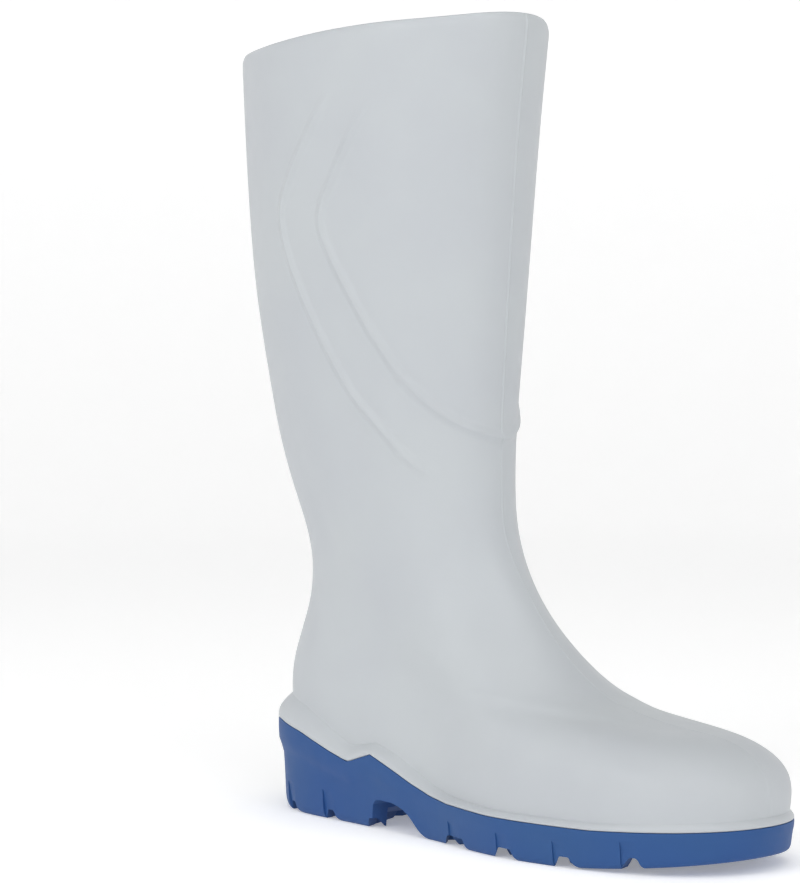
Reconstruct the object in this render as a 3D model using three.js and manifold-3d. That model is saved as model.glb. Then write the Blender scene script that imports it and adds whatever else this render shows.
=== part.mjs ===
// Safety rubber boot for the right foot: a moulded rubber upper with its shaft, a cupped outsole and an insole.
// Millimetres. The boot stands on z = 0, its toe points along +X and its inner (medial) side faces +Y.
// The model is built with x = 0 at the back of the heel, and centred over its own box at the end.
import * as THREE from 'three';
import Module from 'manifold-3d';
import { mergeVertices } from 'three/addons/utils/BufferGeometryUtils.js';

const wasm = await Module();
wasm.setup();

// Driving sizes
const SOLE_LENGTH = 305;
const BALL_WIDTH = 107;
const HEEL_WIDTH = 80;
const INSTEP_HEIGHT = 168;
const BOOT_HEIGHT = 396;
const SHAFT_LENGTH = 186;
const SHAFT_WIDTH = 122;
const SHAFT_CENTRE = 70.8;
const TOE_SWING = 5;

// Upper
const WALL = 3;
const COLLAR_SPAN = 0.16;
const COLLAR_TUCK = 2.6;
const COLLAR_LIP = 2;
const SILL_HEIGHT = 13;
const RIB_WIDTH = 9;
const RIB_HEIGHT = 1.1;
const RIB_ROOT = 0.8;
const RIB_SINK = 0.1;

// Outsole and insole
const FIT_GAP = 0.3;
const RIM_WALL = 3;
const HEEL_RIM = 46.5;
const HEEL_BED = 24;
const BALL_BED = 11;
const TOE_SPRING = 7.5;
const ARCH_HEIGHT = 15;
const ARCH_WAIST = 14;
const HEEL_TAPER = 6.5;
const BALL_TAPER = 3.5;
const TREAD_DEPTH = 5;
const TREAD_DRAFT = 0.6;
const GROOVE = 5.2;
const NOTCH = 7.6;
const NOTCH_DRAFT = 1.9;
const NOTCH_REACH = 14;
const SIPE = 2.6;
const SIPE_DRAFT = 0.3;
const FLUTE_RADIUS = 4.2;
const FLUTE_DEPTH = 0.9;
const FLUTE_HEIGHT = 11;
const INSOLE = 4;
const INSOLE_EDGE = 1;
const INSOLE_LIP = 10;
const INSOLE_DISH = 1.2;

// Facets: columns round the boot, steps along a rib, sides of a flute
const COLUMNS = 60;
const RIB_STEPS = 44;
const SHORT_RIB_STEPS = 30;
const FLUTE_SIDES = 14;

// Names the columns of a short table, so that each row reads as an object.
function table(columns, rows) {
  return rows.map((row) => Object.fromEntries(columns.map((name, i) => [name, row[i]])));
}

// Sections of the foot, bottom to top. Ends are shares of the sole's length, rises of the instep's height,
// heel and waist widths of the heel's width, ball and toe widths of the ball's width. Two columns say how
// square the section is at its back and its front, the last two where it widens from the waist to the ball.
const FOOT_SECTIONS = table(
  ['name', 'back', 'front', 'backRise', 'frontRise', 'heel', 'waist', 'ball', 'toe',
    'backSquare', 'frontSquare', 'widensFrom', 'widensTo'],
  [
    ['sill', 0.025, 0.992, 0.270, 0.134, 0.90, 0.93, 0.940, 0.965, 6.5, 5.6, 0.36, 0.70],
    ['toe wall', 0.024, 0.997, 0.345, 0.250, 0.925, 0.90, 0.945, 1.030, 6.0, 5.5, 0.37, 0.70],
    ['toe turn', 0.025, 0.937, 0.417, 0.345, 0.925, 0.85, 0.858, 0.841, 5.5, 3.0, 0.385, 0.70],
    ['toe top', 0.033, 0.842, 0.488, 0.360, 0.912, 0.80, 0.746, 0.658, 5.0, 2.1, 0.4, 0.70],
    ['vamp', 0.045, 0.775, 0.560, 0.385, 0.90, 0.80, 0.686, 0.662, 4.2, 2.6, 0.4, 0.70],
    ['ball', 0.060, 0.696, 0.635, 0.421, 0.888, 0.825, 0.717, 0.638, 3.5, 3.2, 0.4, 0.70],
    ['waist', 0.0675, 0.605, 0.7125, 0.547, 0.875, 0.85, 0.653, 0.571, 3.0, 3.0, 0.4, 0.70],
    ['instep', 0.0708, 0.541, 0.798, 0.688, 0.904, 0.904, 0.663, 0.514, 2.7, 2.1, 0.4, 0.70],
    ['throat', 0.0577, 0.482, 0.889, 0.851, 0.945, 0.971, 0.699, 0.633, 2.5, 2.9, 0.4, 0.70],
  ],
);

// Sections of the shaft, ankle to collar. Ends are shares of the shaft's length from its centre, rises of its
// height above the instep, and widths of its own width.
const SHAFT_SECTIONS = table(
  ['name', 'back', 'front', 'backRise', 'frontRise', 'heel', 'waist', 'ball', 'toe',
    'backSquare', 'frontSquare', 'widensFrom', 'widensTo'],
  [
    ['ankle', -0.335, 0.407, 0.000, -0.014, 0.665, 0.683, 0.657, 0.588, 2.4, 2.2, 0.4, 0.70],
    ['shin', -0.384, 0.403, 0.116, 0.126, 0.738, 0.756, 0.720, 0.668, 2.3, 2.2, 0.4, 0.70],
    ['low calf', -0.418, 0.417, 0.260, 0.282, 0.808, 0.826, 0.791, 0.738, 2.3, 2.2, 0.4, 0.70],
    ['calf', -0.454, 0.432, 0.424, 0.455, 0.870, 0.896, 0.861, 0.808, 2.3, 2.2, 0.4, 0.70],
    ['high calf', -0.4725, 0.449, 0.597, 0.640, 0.914, 0.949, 0.914, 0.861, 2.3, 2.2, 0.4, 0.70],
    ['under collar', -0.487, 0.470, 0.770, 0.822, 0.940, 0.984, 0.949, 0.896, 2.3, 2.2, 0.4, 0.70],
    ['collar', -0.500, 0.500, 0.954, 1.000, 0.957, 1.000, 0.966, 0.914, 2.3, 2.2, 0.4, 0.70],
  ],
);

// The sole's own plan, in the same columns.
const SOLE_SECTION = {
  back: 0,
  front: SOLE_LENGTH,
  backZ: 0,
  frontZ: 0,
  heel: HEEL_WIDTH,
  waist: 1.05 * HEEL_WIDTH,
  ball: BALL_WIDTH,
  toe: 0.985 * BALL_WIDTH,
  backSquare: 7.0,
  frontSquare: 5.4,
  widensFrom: 0.36,
  widensTo: 0.70,
};

// Swing of the last's centre line, as shares of the toe's swing at even tenths of the length, from 0.2 behind
// the heel to 0.2 past the toe.
const SWING = [0, 0, 0, 0, 0, -0.12, -0.40, -0.64, -0.74, -0.56, -0.12, 0.44, 1.0, 1.5, 2.0];
const SWING_START = -0.2;
const SWING_STEP = 0.1;

// Stretches of the length over which one width passes to the next, and the sill evens out upwards.
const HEEL_TO_WAIST = [0.14, 0.42];
const BALL_TO_TOE = [0.68, 1.0];
const SILL_ROWS = 4;

// Where the toe spring starts and how it bends, where the bed falls, where the side turns from heel to ball,
// and where the waist is hollow.
const SPRING_START = 0.74;
const SPRING_BEND = 1.3;
const BED_FALL = [0.24, 0.60];
const SIDE_TURN = [0.20, 0.45];
const WAIST_HOLLOW = { at: 0.42, spread: 0.085, inner: 1, outer: 0.05 };

// Top edge of the outsole along its length, as shares of its height at the heel: it dips, peaks and runs low.
const RIM_LINE = table(['at', 'height'], [
  [0, 1.0], [0.06, 1.0], [0.13, 0.912], [0.207, 0.753], [0.25, 0.675], [0.297, 0.790], [0.345, 0.677],
  [0.396, 0.551], [0.448, 0.465], [0.5, 0.424], [0.6, 0.402], [0.8, 0.400], [0.9, 0.426], [1, 0.452],
]);

// Height of the upper's sill over that edge, as shares of its height at the heel.
const SILL_LINE = table(['at', 'height'], [
  [0, 1.0], [0.13, 0.96], [0.207, 0.73], [0.25, 0.58], [0.297, 0.42], [0.345, 0.50], [0.396, 0.42],
  [0.448, 0.29], [0.5, 0.23], [0.6, 0.23], [0.8, 0.26], [1, 0.31],
]);

// Rise of the collar from back to front at even tenths of its length, which settles over the rows under it.
const COLLAR_LINE = [0, 0.03, 0.05, 0.08, 0.19, 0.375, 0.54, 0.675, 0.77, 0.845, 1];
const COLLAR_ROWS = 2;

// The collar's edge turned in: shares of its tuck and of its span.
const COLLAR_FACE = table(['in', 'down'], [[0, 1], [0.1, 0.5], [0.42, 0.15], [1, 0]]);

// Convex face of the sill, from the outsole's edge in to the wall.
const SILL_FACE = table(['in', 'up'], [[0, 0], [0, 0.25], [0.12, 0.55], [0.42, 0.85]]);

// Side of the outsole from its rim down: the share of its height, and of the taper at heel and ball.
const SIDE_LINE = table(['down', 'heelIn', 'ballIn'], [
  [0, 0, 0], [0.20, 0.03, 0.04], [0.34, 0.37, 0.16], [0.62, 0.49, 0.31], [0.88, 0.58, 0.49], [1, 1, 1],
]);

// Underside of the waist from the heel's breast forward: shares of the length and of the arch's height.
const ARCH_LINE = table(['at', 'height'], [
  [0.304, -0.3], [0.304, 0], [0.318, 1.0], [0.356, 0.98], [0.386, 0.82], [0.406, 0.52], [0.424, 0.16], [0.444, 0],
  [0.444, -0.3],
]);

// Ribs of the shaft: angle round the boot from its front, in degrees, and place among the sections.
const FRONT_RIB = table(['angle', 'row'], [
  [64, 14.2], [71, 13.8], [79, 13.3], [85, 12.9], [85.5, 12.6], [80, 12.15], [69, 11.45], [63, 11.13],
  [53.5, 10.67], [38.5, 10.23], [22, 9.99], [0, 9.86],
]);
const BACK_RIB = table(['angle', 'row'], [
  [79.5, 14.35], [83.5, 14.16], [89.5, 13.83], [97.5, 13.4], [104.5, 12.95], [104.5, 12.65], [102, 12.3],
  [97, 11.87], [90, 11.32], [81.5, 10.72], [75, 10.36], [65, 9.95], [57, 9.6], [48, 9.3], [41, 9.12],
]);

// Tread grooves: each is a chain of points, shares of the length and of the width there, medial side plus.
const BALL_GROOVES = [
  [[0.813, 0.48], [0.520, -0.48]],
  [[0.900, 0.42], [0.642, -0.50]],
  [[0.845, -0.24], [0.754, -0.48]],
  [[0.700, 0.50], [0.470, -0.35]],
  [[0.490, 0.40], [0.754, -0.48]],
  [[0.593, 0.46], [0.868, -0.40]],
  [[0.700, 0.50], [0.810, 0.12]],
  [[0.813, 0.48], [0.862, 0.25]],
  [[0.490, 0.02], [0.642, -0.50]],
  [[0.485, -0.32], [0.520, -0.48]],
  [[0.850, 0.15], [0.869, 0.00], [0.869, -0.10], [0.845, -0.24], [0.876, -0.36]],
];
const HEEL_GROOVES = [
  [[0.335, 0.42], [0.272, 0.20]],
  [[0.240, 0.48], [0.270, -0.14], [0.308, -0.52]],
  [[0.273, 0.01], [0.187, -0.352], [0.196, -0.46]],
  [[0.222, 0.45], [0.172, 0.16]],
  [[0.128, 0.46], [0.178, 0.077], [0.187, -0.352]],
  [[0.165, 0.08], [0.083, -0.27], [0.083, -0.47]],
];
const HEEL_SIPES = [
  [[0.120, 0.36], [0.088, 0.20], [0.106, 0.09], [0.066, -0.03], [0.081, -0.25]],
  [[0.250, 0.19], [0.196, 0.10], [0.239, -0.044]],
];

// Notches where the grooves leave the sole's side, as shares of the length.
const OUTER_NOTCHES = [0.083, 0.196, 0.520, 0.642, 0.754, 0.868];
const INNER_NOTCHES = [0.138, 0.240, 0.593, 0.700, 0.813];
const FLUTE_TAPER = { down: 0.85, heelIn: 0.55, ballIn: 0.45 };

// Slope of the heel's breast between its two edge lugs, as shares of length, arch height and heel width.
const BREAST_RAMP = { from: 0.275, to: 0.347, low: 0.3, inner: 0.28, outer: -0.36, under: -0.3 };

function clamp(value, low, high) {
  return Math.min(Math.max(value, low), high);
}

function smooth(t, from, to) {
  const u = clamp((t - from) / (to - from), 0, 1);
  return u * u * u * (u * (6 * u - 15) + 10);
}

// Reads a line given at rising stations.
function along(line, share) {
  const last = line.length - 1;
  if (share <= line[0].at) return line[0].height;
  for (let i = 1; i <= last; i += 1) {
    if (share <= line[i].at) {
      const k = (share - line[i - 1].at) / (line[i].at - line[i - 1].at);
      return line[i - 1].height + k * (line[i].height - line[i - 1].height);
    }
  }
  return line[last].height;
}

// A uniform cubic B-spline through the ends of a column of values.
function blend(values, place) {
  const last = values.length - 1;
  const s = clamp(place, 0, last);
  const i = Math.min(Math.floor(s), last - 1);
  const f = s - i;
  const before = i > 0 ? values[i - 1] : 2 * values[0] - values[1];
  const after = i + 2 <= last ? values[i + 2] : 2 * values[last] - values[last - 1];
  const g = 1 - f;
  return (g * g * g * before + (3 * f * f * f - 6 * f * f + 4) * values[i]
    + (3 * g * g * g - 6 * g * g + 4) * values[i + 1] + f * f * f * after) / 6;
}

function swing(x) {
  return TOE_SWING * blend(SWING, (x / SOLE_LENGTH - SWING_START) / SWING_STEP);
}

const FOOT = FOOT_SECTIONS.map((row) => ({
  back: row.back * SOLE_LENGTH,
  front: row.front * SOLE_LENGTH,
  backZ: row.backRise * INSTEP_HEIGHT,
  frontZ: row.frontRise * INSTEP_HEIGHT,
  heel: row.heel * HEEL_WIDTH,
  waist: row.waist * HEEL_WIDTH,
  ball: row.ball * BALL_WIDTH,
  toe: row.toe * BALL_WIDTH,
  backSquare: row.backSquare,
  frontSquare: row.frontSquare,
  widensFrom: row.widensFrom,
  widensTo: row.widensTo,
}));
const SHAFT = SHAFT_SECTIONS.map((row) => ({
  back: SHAFT_CENTRE + row.back * SHAFT_LENGTH,
  front: SHAFT_CENTRE + row.front * SHAFT_LENGTH,
  backZ: INSTEP_HEIGHT + row.backRise * (BOOT_HEIGHT - INSTEP_HEIGHT),
  frontZ: INSTEP_HEIGHT + row.frontRise * (BOOT_HEIGHT - INSTEP_HEIGHT),
  heel: row.heel * SHAFT_WIDTH,
  waist: row.waist * SHAFT_WIDTH,
  ball: row.ball * SHAFT_WIDTH,
  toe: row.toe * SHAFT_WIDTH,
  backSquare: row.backSquare,
  frontSquare: row.frontSquare,
  widensFrom: row.widensFrom,
  widensTo: row.widensTo,
}));
const SECTIONS = [...FOOT, ...SHAFT];
const TOP_ROW = SECTIONS.length - 1;
const SECTION_COLUMNS = Object.fromEntries(
  Object.keys(SECTIONS[0]).map((key) => [key, SECTIONS.map((row) => row[key])]),
);

// A point of one section at an angle from its front, anticlockwise from above.
function sectionPoint(row, angle) {
  const u = Math.cos(angle);
  const t = (1 + u) / 2;
  const width = row.heel + (row.waist - row.heel) * smooth(t, ...HEEL_TO_WAIST)
    + (row.ball - row.waist) * smooth(t, row.widensFrom, row.widensTo)
    + (row.toe - row.ball) * smooth(t, ...BALL_TO_TOE);
  const square = u > 0 ? row.frontSquare : row.backSquare;
  const reach = Math.sqrt(Math.max(0, 1 - Math.abs(u) ** square));
  const side = Math.abs(Math.sin(angle)) < 1e-9 ? 0 : Math.sign(Math.sin(angle));
  const x = row.back + (row.front - row.back) * t;
  return new THREE.Vector3(x, side * reach * width / 2 + swing(x), row.backZ + (row.frontZ - row.backZ) * t);
}

function rimZ(x) {
  return HEEL_RIM * along(RIM_LINE, x / SOLE_LENGTH);
}

function sillZ(x) {
  return rimZ(x) + SILL_HEIGHT * along(SILL_LINE, x / SOLE_LENGTH);
}

function groundZ(x) {
  return TOE_SPRING * Math.max(0, (x / SOLE_LENGTH - SPRING_START) / (1 - SPRING_START)) ** SPRING_BEND;
}

function bedZ(x) {
  return BALL_BED + (HEEL_BED - BALL_BED) * (1 - smooth(x / SOLE_LENGTH, ...BED_FALL)) + groundZ(x) / 2;
}

// A point on the outside of the upper. Its lowest row follows the sill and its highest the collar's line, and
// the rows between them even out.
function upperPoint(place, angle) {
  const row = {};
  for (const key of Object.keys(SECTION_COLUMNS)) row[key] = blend(SECTION_COLUMNS[key], place);
  const point = sectionPoint(row, angle);
  const foot = sectionPoint(SECTIONS[0], angle);
  const share = clamp(1 - place / SILL_ROWS, 0, 1) ** 2;
  point.z += share * (sillZ(foot.x) - foot.z);
  const t = (1 + Math.cos(angle)) / 2;
  const settled = clamp(1 - (TOP_ROW - place) / COLLAR_ROWS, 0, 1) ** 2;
  const rise = blend(COLLAR_LINE, t * (COLLAR_LINE.length - 1));
  point.z += settled * (rise - t) * (row.frontZ - row.backZ);
  return point;
}

function upperNormal(place, angle) {
  const step = 1e-3;
  const low = upperPoint(Math.max(place - step, 0), angle);
  const high = upperPoint(Math.min(place + step, TOP_ROW), angle);
  const right = upperPoint(place, angle - step);
  const left = upperPoint(place, angle + step);
  return left.sub(right).cross(high.sub(low)).normalize();
}

function upperInset(place, angle, depth) {
  return upperPoint(place, angle).addScaledVector(upperNormal(place, angle), -depth);
}

// A point of the sole's plan, moved in from its edge.
function planPoint(angle, inset) {
  const step = 1e-3;
  const ahead = sectionPoint(SOLE_SECTION, angle + step).sub(sectionPoint(SOLE_SECTION, angle - step));
  const inward = new THREE.Vector3(-ahead.y, ahead.x, 0).normalize();
  return sectionPoint(SOLE_SECTION, angle).addScaledVector(inward, inset);
}

function ring(make) {
  return Array.from({ length: COLUMNS }, (_, i) => make(2 * Math.PI * i / COLUMNS));
}

function planRing(inset, height) {
  return ring((angle) => {
    const point = planPoint(angle, inset);
    point.z = height(point.x);
    return point;
  });
}

// Makes a solid of shared points and triangles, turned to face out.
function solid(points, triangles) {
  let volume = 0;
  for (const [a, b, c] of triangles) {
    volume += points[a].dot(new THREE.Vector3().crossVectors(points[b], points[c]));
  }
  const facing = volume < 0 ? triangles.map(([a, b, c]) => [a, c, b]) : triangles;
  return new wasm.Manifold(new wasm.Mesh({
    numProp: 3,
    vertProperties: new Float32Array(points.flatMap((point) => point.toArray())),
    triVerts: new Uint32Array(facing.flat()),
  }));
}

function bands(rings, pairs) {
  const count = rings[0].length;
  const triangles = [];
  for (const [low, high] of pairs) {
    for (let i = 0; i < count; i += 1) {
      const j = (i + 1) % count;
      triangles.push([low * count + i, low * count + j, high * count + j]);
      triangles.push([low * count + i, high * count + j, high * count + i]);
    }
  }
  return triangles;
}

// A hollow wall: rings up the outside and down the inside, closed on themselves.
function closedWall(rings) {
  const pairs = rings.map((_, k) => [k, (k + 1) % rings.length]);
  return solid(rings.flat(), bands(rings, pairs));
}

// Fills a ring of the boot's columns with strips from side to side.
function fill(first, count, over) {
  const triangles = [];
  for (let i = 0; i < count / 2; i += 1) {
    const j = i + 1;
    const a = first + i;
    const b = first + j;
    const c = first + count - j;
    const d = first + (count - i) % count;
    if (i > 0) triangles.push([a, b, d]);
    if (j < count / 2) triangles.push([b, c, d]);
  }
  return over ? triangles : triangles.map(([a, b, c]) => [a, c, b]);
}

// A body of stacked rings with both ends filled.
function cappedBody(rings) {
  const count = rings[0].length;
  const pairs = rings.slice(1).map((_, k) => [k, k + 1]);
  const top = (rings.length - 1) * count;
  return solid(rings.flat(), [...bands(rings, pairs), ...fill(0, count, false), ...fill(top, count, true)]);
}

// A closed bar of equal sections, given as rings of points from end to end.
function bar(rings) {
  const count = rings[0].length;
  const pairs = rings.slice(1).map((_, k) => [k, k + 1]);
  const top = (rings.length - 1) * count;
  const ends = [];
  for (let i = 1; i < count - 1; i += 1) {
    ends.push([0, i + 1, i]);
    ends.push([top, top + i, top + i + 1]);
  }
  return solid(rings.flat(), [...bands(rings, pairs), ...ends]);
}

function toManifold(geometry) {
  geometry.deleteAttribute('normal');
  geometry.deleteAttribute('uv');
  const merged = mergeVertices(geometry, 1e-4);
  return new wasm.Manifold(new wasm.Mesh({
    numProp: 3,
    vertProperties: new Float32Array(merged.attributes.position.array),
    triVerts: new Uint32Array(merged.index.array),
  }));
}

function toMesh(name, body, material) {
  const result = body.getMesh();
  const geometry = new THREE.BufferGeometry();
  geometry.setAttribute('position', new THREE.BufferAttribute(new Float32Array(result.vertProperties), 3));
  geometry.setIndex(new THREE.BufferAttribute(new Uint32Array(result.triVerts), 1));
  geometry.computeVertexNormals();
  const mesh = new THREE.Mesh(geometry, material);
  mesh.name = name;
  return mesh;
}

// One raised rib of the shaft, a low bar that follows the wall and fades out at its free ends.
function rib(points, steps) {
  const fade = 0.2;
  const foot = 0.5;
  const crest = 0.22;
  const route = new THREE.CatmullRomCurve3(points.map(([angle, place]) => new THREE.Vector3(angle, place, 0)));
  const spots = route.getPoints(steps).map((spot) => ({
    at: upperPoint(spot.y, spot.x),
    out: upperNormal(spot.y, spot.x),
  }));
  const rings = spots.map(({ at, out }, i) => {
    const before = spots[Math.max(i - 1, 0)].at;
    const after = spots[Math.min(i + 1, steps)].at;
    const across = new THREE.Vector3().crossVectors(out, after.clone().sub(before)).normalize();
    const height = RIB_HEIGHT * smooth(Math.min(i, steps - i) / steps, 0, fade) - RIB_SINK;
    const place = (side, up) => at.clone().addScaledVector(across, side * RIB_WIDTH).addScaledVector(out, up);
    return [place(-foot, -RIB_ROOT), place(foot, -RIB_ROOT), place(crest, height), place(-crest, height)];
  });
  return bar(rings);
}

// The moulded upper: foot, sill and shaft in one wall, open at the collar and underneath.
function makeUpper() {
  const seat = RIM_WALL + FIT_GAP;
  const underSill = (x) => rimZ(x) + FIT_GAP;
  const onBed = (x) => bedZ(x) + FIT_GAP;
  const outside = [0, 0.5, 1, 1.5, 2, 2.5, 3, 4, 5, 6, 7, 8, 9, 10, 11, 12, 13, 14];
  const inside = [14, 12, 11, 10, 9, 8, 7, 6, 5, 4, 3, 2, 1, 0];
  const sill = SILL_FACE.map((face) => ring((angle) => {
    const edge = planPoint(angle, 0);
    const wall = upperPoint(0, angle);
    const point = edge.clone().lerp(wall, face.in);
    point.z = underSill(edge.x) + face.up * (wall.z - underSill(edge.x));
    return point;
  }));
  const collar = (face, depth) => ring((angle) => {
    const place = TOP_ROW - COLLAR_SPAN * face.down;
    const point = upperInset(place, angle, COLLAR_TUCK * face.in + depth);
    point.z = upperPoint(place, angle).z;
    return point;
  });
  const rolled = COLLAR_FACE.map((face) => collar(face, 0));
  const turned = COLLAR_FACE.slice(0, -1).map((face) => collar(face, WALL)).reverse();
  const rings = [
    planRing(seat, onBed),
    planRing(seat, underSill),
    ...sill,
    ...outside.map((place) => ring((angle) => upperPoint(place, angle))),
    ...rolled,
    collar(COLLAR_FACE[COLLAR_FACE.length - 1], COLLAR_LIP),
    ...turned,
    ...inside.map((place) => ring((angle) => upperInset(place, angle, WALL))),
    planRing(seat + WALL, underSill),
    planRing(seat + WALL, onBed),
  ];
  const radians = Math.PI / 180;
  const half = (line, side) => line.map(({ angle, row }) => [side * angle * radians, row]);
  const front = [...half(FRONT_RIB, -1), ...half(FRONT_RIB, 1).reverse().slice(1)];
  return closedWall(rings)
    .add(rib(front, 2 * RIB_STEPS))
    .add(rib(half(BACK_RIB, -1), SHORT_RIB_STEPS))
    .add(rib(half(BACK_RIB, 1), SHORT_RIB_STEPS));
}

// A groove cut up into the tread, its flanks drafted so that it opens downwards, along the sole's ground line.
function groove(points, width, draft) {
  const below = 2;
  const pitch = 18;
  const mouth = width / 2 + draft;
  const root = width / 2 - draft;
  const route = [points[0]];
  for (let i = 1; i < points.length; i += 1) {
    const pieces = Math.max(1, Math.round(Math.abs(points[i].x - points[i - 1].x) / pitch));
    for (let k = 1; k <= pieces; k += 1) route.push(points[i - 1].clone().lerp(points[i], k / pieces));
  }
  const rings = route.map((point, i) => {
    const before = route[Math.max(i - 1, 0)];
    const after = route[Math.min(i + 1, route.length - 1)];
    const ahead = after.clone().sub(before).normalize();
    const low = groundZ(point.x) - below;
    const high = groundZ(point.x) + TREAD_DEPTH;
    const place = (side, z) => new THREE.Vector3(point.x - side * ahead.y, point.y + side * ahead.x, z);
    return [place(-mouth, low), place(mouth, low), place(root, high), place(-root, high)];
  });
  return bar(rings);
}

function grooves(chains, soleWidth, width, draft) {
  return chains.map((chain) => {
    const points = chain.map(([at, across]) => {
      const x = at * SOLE_LENGTH;
      return new THREE.Vector3(x, across * soleWidth + swing(x), 0);
    });
    return groove(points, width, draft);
  });
}

// The angle at which the sole's edge passes a station, on the side given.
function edgeAngle(at, side) {
  return side * Math.acos(2 * at - 1);
}

// How far the outsole's side lies in from its rim at a level: its taper, and the hollow of the waist.
function sideInset(x, angle, { down, heelIn, ballIn }) {
  const atBall = smooth(x / SOLE_LENGTH, ...SIDE_TURN);
  const taper = HEEL_TAPER * heelIn * (1 - atBall) + BALL_TAPER * ballIn * atBall;
  const { at, spread, inner, outer } = WAIST_HOLLOW;
  const hollow = Math.exp(-(((x / SOLE_LENGTH - at) / spread) ** 2));
  return taper + ARCH_WAIST * hollow * down * (Math.sin(angle) > 0 ? inner : outer);
}

function notches(stations, side) {
  return stations.map((at) => {
    const angle = edgeAngle(at, side);
    return groove([planPoint(angle, NOTCH_REACH), planPoint(angle, -NOTCH)], NOTCH, NOTCH_DRAFT);
  });
}

function flutes(stations, side) {
  return stations.map((at) => {
    const geometry = new THREE.CylinderGeometry(FLUTE_RADIUS, FLUTE_RADIUS, FLUTE_HEIGHT, FLUTE_SIDES);
    geometry.rotateX(Math.PI / 2);
    const angle = edgeAngle(at, side);
    const surface = sideInset(at * SOLE_LENGTH, angle, FLUTE_TAPER);
    const centre = planPoint(angle, surface + FLUTE_DEPTH - FLUTE_RADIUS);
    geometry.translate(centre.x, centre.y, groundZ(centre.x) + FLUTE_HEIGHT / 2);
    return toManifold(geometry);
  });
}

// A prism across the sole with its outline in the x-z plane.
function crossPrism(outline, from, to) {
  const shape = new THREE.Shape(outline.map(([x, z]) => new THREE.Vector2(x, z)));
  const geometry = new THREE.ExtrudeGeometry(shape, { depth: to - from, bevelEnabled: false });
  geometry.rotateX(Math.PI / 2);
  geometry.translate(0, to, 0);
  return toManifold(geometry);
}

function archCuts() {
  const arch = ARCH_LINE.map(({ at, height }) => [at * SOLE_LENGTH, height * ARCH_HEIGHT]);
  const { from, to, low, inner, outer } = BREAST_RAMP;
  const start = from * SOLE_LENGTH;
  const end = to * SOLE_LENGTH;
  const under = BREAST_RAMP.under * ARCH_HEIGHT;
  const ramp = [[start, under], [start, low * ARCH_HEIGHT], [end, ARCH_HEIGHT], [end, under]];
  return [
    crossPrism(arch, -BALL_WIDTH, BALL_WIDTH),
    crossPrism(ramp, outer * HEEL_WIDTH, inner * HEEL_WIDTH),
  ];
}

// The outsole: a cup that holds the upper's foot, with its side, arch, tread and notches.
function makeOutsole() {
  const side = SIDE_LINE.map((level) => ring((angle) => {
    const edge = planPoint(angle, 0);
    const point = planPoint(angle, sideInset(edge.x, angle, level));
    point.z = rimZ(edge.x) + (groundZ(point.x) - rimZ(edge.x)) * level.down;
    return point;
  }));
  const body = cappedBody([
    planRing(RIM_WALL, bedZ),
    planRing(RIM_WALL, rimZ),
    ...side,
  ]);
  const cuts = [
    ...grooves(BALL_GROOVES, BALL_WIDTH, GROOVE, TREAD_DRAFT),
    ...grooves(HEEL_GROOVES, HEEL_WIDTH, GROOVE, TREAD_DRAFT),
    ...grooves(HEEL_SIPES, HEEL_WIDTH, SIPE, SIPE_DRAFT),
    ...notches(OUTER_NOTCHES, -1),
    ...notches(INNER_NOTCHES, 1),
    ...flutes(OUTER_NOTCHES, -1),
    ...flutes(INNER_NOTCHES, 1),
    ...archCuts(),
  ];
  return cuts.reduce((left, cut) => left.subtract(cut), body);
}

// The insole: a loose foot bed with a shallow dish, lying in the upper on the outsole's bed.
function makeInsole() {
  const edge = RIM_WALL + FIT_GAP + WALL + FIT_GAP;
  const rise = (up) => (x) => bedZ(x) + FIT_GAP + up;
  return cappedBody([
    planRing(edge, rise(0)),
    planRing(edge, rise(INSOLE - INSOLE_EDGE)),
    planRing(edge + INSOLE_EDGE, rise(INSOLE)),
    planRing(edge + INSOLE_LIP, rise(INSOLE - INSOLE_DISH)),
  ]);
}

const whiteRubber = new THREE.MeshStandardMaterial({ color: 0xd9dcdd, roughness: 0.45, metalness: 0 });
const blueRubber = new THREE.MeshStandardMaterial({ color: 0x3b62a0, roughness: 0.5, metalness: 0 });
const insoleFelt = new THREE.MeshStandardMaterial({ color: 0x9aa0a6, roughness: 0.9, metalness: 0 });

const boot = new THREE.Group();
boot.add(toMesh('upper', makeUpper(), whiteRubber));
boot.add(toMesh('outsole', makeOutsole(), blueRubber));
boot.add(toMesh('insole', makeInsole(), insoleFelt));

// The origin lies on the floor under the middle of the boot's box.
const box = new THREE.Box3().setFromObject(boot);
const middle = box.getCenter(new THREE.Vector3());
boot.position.set(-middle.x, -middle.y, -box.min.z);

export default boot;
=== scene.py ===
"""Finish of the right safety rubber boot: moulded upper with its knit lining, lugged outsole and insole.

Shapes are worked out in millimetres from x = 0 at the back of the heel, toe along +X and inner side +Y,
and set into the row's frame when a piece is made.
"""

import math

import bpy
import numpy as np
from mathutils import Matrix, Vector
from mathutils.kdtree import KDTree


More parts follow.
